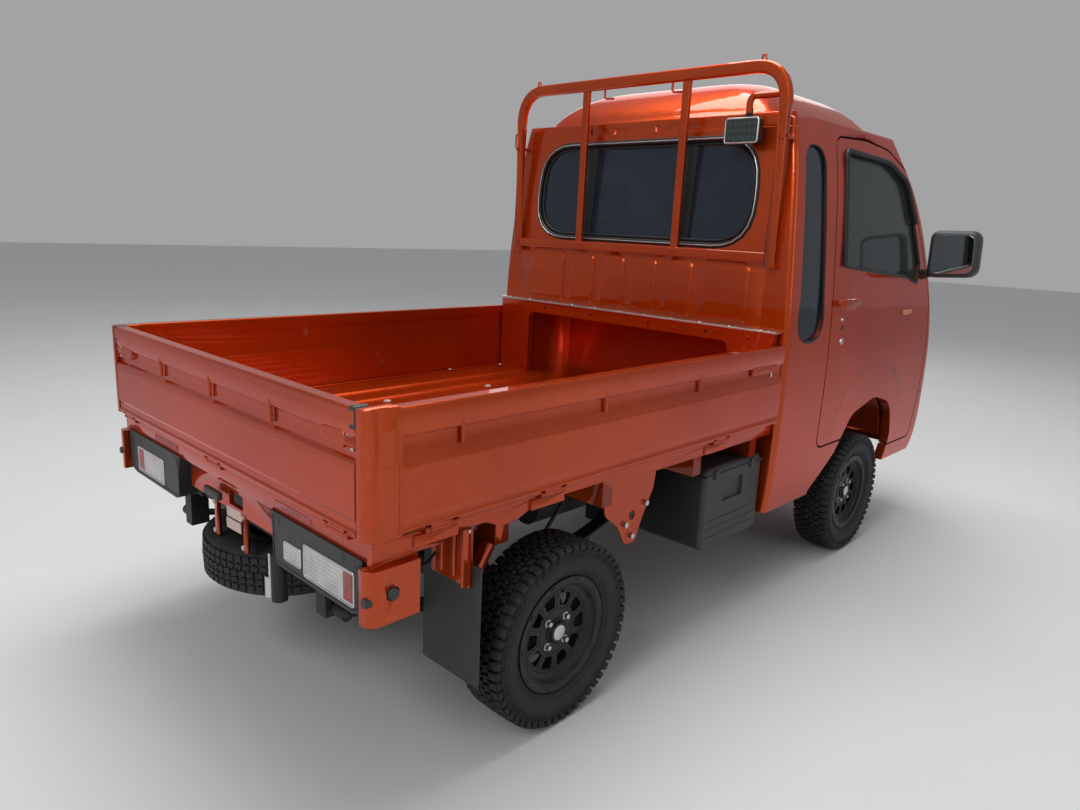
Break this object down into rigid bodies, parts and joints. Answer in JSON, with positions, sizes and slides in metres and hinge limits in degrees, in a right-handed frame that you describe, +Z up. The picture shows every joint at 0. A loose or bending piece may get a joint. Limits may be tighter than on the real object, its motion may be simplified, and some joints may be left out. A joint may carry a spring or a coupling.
{
  "type": "kei truck",
  "caption": "Small cab-over pickup truck with an extended cab, drop-side bed, rear window guard, swinging doors, steered front wheels and rolling wheels.",
  "frame": {"origin": "centre of the bounding box's base, on the ground between the wheels", "axes": "-Y is the nose, +Y the tail, +X the vehicle's left, +Z up"},
  "size_m": [1.9306, 3.3951, 1.9769],
  "materials": {
    "paint": "glossy burnt-orange metallic",
    "chassis": "satin black",
    "casting": "rough cast",
    "steel": "dull",
    "glass": "tinted",
    "dark_plastic": "textured",
    "lamp": "clear over bright reflectors",
    "seat_cloth": "woven",
    "rubber": "matt",
    "tyre": "matt, blocky tread",
    "wheel_black": "matt black paint"
  },
  "bodies": {
    "truck": {"cab_roof": "paint", "cab_rear_wall": "paint", "cab_front": "paint", "front_bumper": "paint", "cab_side_left": "paint", "cab_side_right": "paint", "cab_floor": "paint", "cab_glass": "glass", "dashboard": "dark_plastic", "seats": "seat_cloth", "guard_frame": "paint", "work_lamp": "lamp", "frame_rails": "chassis", "bed_floor": "paint", "bed_frame": "paint", "rear_lamps": "dark_plastic", "mud_flaps": "rubber", "battery_box": "dark_plastic", "fuel_tank": "chassis", "spare_wheel": "tyre", "engine": "casting", "rear_axle": "chassis", "leaf_springs": "chassis", "exhaust": "steel", "front_suspension": "chassis", "headlamps": "lamp"},
    "door_left": {"door_left": "paint", "door_glass_left": "glass", "mirror_left": "dark_plastic"},
    "gate_left": {"gate_left": "paint"},
    "knuckle_left": {"knuckle_left": "chassis"},
    "door_right": {"door_right": "paint", "door_glass_right": "glass", "mirror_right": "dark_plastic"},
    "gate_right": {"gate_right": "paint"},
    "knuckle_right": {"knuckle_right": "chassis"},
    "tailgate": {"tailgate": "paint"},
    "wheel_front_left": {"rim_front_left": "wheel_black", "tyre_front_left": "tyre"},
    "wheel_front_right": {"rim_front_right": "wheel_black", "tyre_front_right": "tyre"},
    "wheel_rear_left": {"rim_rear_left": "wheel_black", "tyre_rear_left": "tyre"},
    "wheel_rear_right": {"rim_rear_right": "wheel_black", "tyre_rear_right": "tyre"}
  },
  "joints": [
    {"name": "steer_left", "type": "hinge", "parent": "truck", "child": "knuckle_left", "pos_m": [0.56, -0.8375, 0.266], "axis": [0, 0, 1], "range_deg": [-33, 33]},
    {"name": "wheel_front_left_spin", "type": "hinge", "parent": "knuckle_left", "child": "wheel_front_left", "pos_m": [0.669, -0.8375, 0.266], "axis": [1, 0, 0], "continuous": true},
    {"name": "wheel_rear_left_spin", "type": "hinge", "parent": "truck", "child": "wheel_rear_left", "pos_m": [0.669, 1.0625, 0.266], "axis": [1, 0, 0], "continuous": true},
    {"name": "door_left_swing", "type": "hinge", "parent": "truck", "child": "door_left", "pos_m": [0.7295, -1.52, 1], "axis": [0, 0, -1], "range_deg": [0, 62]},
    {"name": "gate_left_drop", "type": "hinge", "parent": "truck", "child": "gate_left", "pos_m": [0.728, 0.825, 0.697], "axis": [0, 1, 0], "range_deg": [0, 160]},
    {"name": "steer_right", "type": "hinge", "parent": "truck", "child": "knuckle_right", "pos_m": [-0.56, -0.8375, 0.266], "axis": [0, 0, 1], "range_deg": [-33, 33]},
    {"name": "wheel_front_right_spin", "type": "hinge", "parent": "knuckle_right", "child": "wheel_front_right", "pos_m": [-0.669, -0.8375, 0.266], "axis": [1, 0, 0], "continuous": true},
    {"name": "wheel_rear_right_spin", "type": "hinge", "parent": "truck", "child": "wheel_rear_right", "pos_m": [-0.669, 1.0625, 0.266], "axis": [1, 0, 0], "continuous": true},
    {"name": "door_right_swing", "type": "hinge", "parent": "truck", "child": "door_right", "pos_m": [-0.7295, -1.52, 1], "axis": [0, 0, 1], "range_deg": [0, 62]},
    {"name": "gate_right_drop", "type": "hinge", "parent": "truck", "child": "gate_right", "pos_m": [-0.728, 0.825, 0.697], "axis": [0, -1, 0], "range_deg": [0, 160]},
    {"name": "tailgate_drop", "type": "hinge", "parent": "truck", "child": "tailgate", "pos_m": [0, 1.688, 0.697], "axis": [-1, 0, 0], "range_deg": [0, 160]}
  ],
  "couplings": [
    {"joint": "steer_right", "follows": "steer_left", "ratio": 1}
  ]
}
